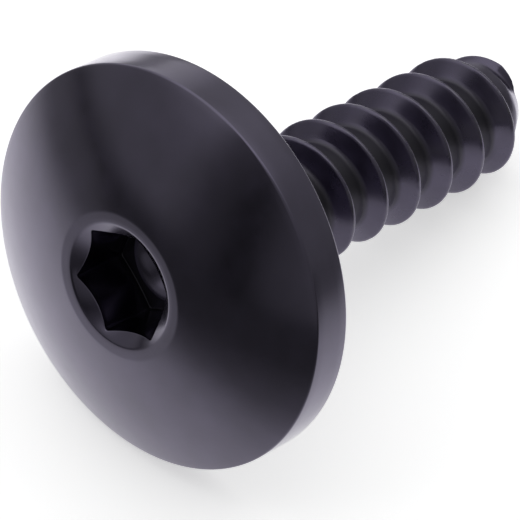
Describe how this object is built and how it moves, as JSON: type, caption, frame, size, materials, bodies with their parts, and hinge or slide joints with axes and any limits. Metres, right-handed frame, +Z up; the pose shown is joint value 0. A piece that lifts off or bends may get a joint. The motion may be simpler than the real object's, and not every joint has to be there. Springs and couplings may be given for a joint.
{
  "type": "self-tapping screw",
  "caption": "Black steel self-tapping screw with a wide domed head, a six-lobe recess and a coarse sharp thread to a blunt tapered end, for trim and plastic parts.",
  "frame": {"origin": "middle of the lying screw's footprint, on the table", "axes": "+X runs along the table from the head to the tip, +Z is up; the screw's own axis lies in the XZ plane and slopes down towards the tip"},
  "size_m": [0.021, 0.015, 0.0147],
  "materials": {
    "black_steel": "satin black passivated zinc on steel"
  },
  "bodies": {
    "root": {"screw": "black_steel"}
  },
  "joints": []
}
